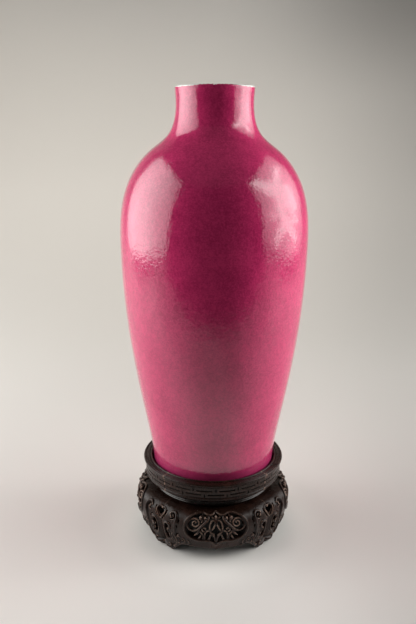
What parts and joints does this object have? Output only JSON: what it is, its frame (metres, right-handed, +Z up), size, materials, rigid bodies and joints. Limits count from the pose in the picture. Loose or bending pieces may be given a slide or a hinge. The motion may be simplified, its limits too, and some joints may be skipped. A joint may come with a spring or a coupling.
{
  "type": "porcelain vase on stand",
  "caption": "Tall-shouldered porcelain vase in ruby enamel, lifting out of a round collared, carved hardwood stand with pierced skirt boards and scroll feet.",
  "frame": {"origin": "on the floor under the centre of the stand's four feet", "axes": "+Z up along the vase's axis; -Y is the front of the stand, the middle of one skirt board; +X is to the right seen from the front"},
  "size_m": [0.1792, 0.1792, 0.4425],
  "materials": {
    "enamelled_porcelain": "glossy overglaze enamel with a fine orange-peel surface, white glaze inside and on the lip",
    "carved_hardwood": "dark stained and polished, worn lighter on raised edges",
    "plain_hardwood": "oiled, unpolished inner surfaces"
  },
  "bodies": {
    "stand": {"waist_ring": "carved_hardwood", "seat_board": "plain_hardwood", "collar_front": "carved_hardwood", "collar_right": "carved_hardwood", "collar_back": "carved_hardwood", "collar_left": "carved_hardwood", "skirt_front": "carved_hardwood", "skirt_right": "carved_hardwood", "skirt_back": "carved_hardwood", "skirt_left": "carved_hardwood", "collar_key_front_right": "plain_hardwood", "collar_key_back_right": "plain_hardwood", "collar_key_back_left": "plain_hardwood", "collar_key_front_left": "plain_hardwood", "leg_tongue_front_right": "plain_hardwood", "leg_tongue_back_right": "plain_hardwood", "leg_tongue_back_left": "plain_hardwood", "leg_tongue_front_left": "plain_hardwood", "corner_block_front_right": "plain_hardwood", "corner_block_back_right": "plain_hardwood", "corner_block_back_left": "plain_hardwood", "corner_block_front_left": "plain_hardwood", "collar_pegs": "plain_hardwood", "waist_pegs": "plain_hardwood"},
    "vase": {"vase": "enamelled_porcelain"}
  },
  "joints": [
    {"name": "vase_lift", "type": "slide", "parent": "stand", "child": "vase", "axis": [0, 0, 1], "range_m": [0, 0.04]}
  ]
}
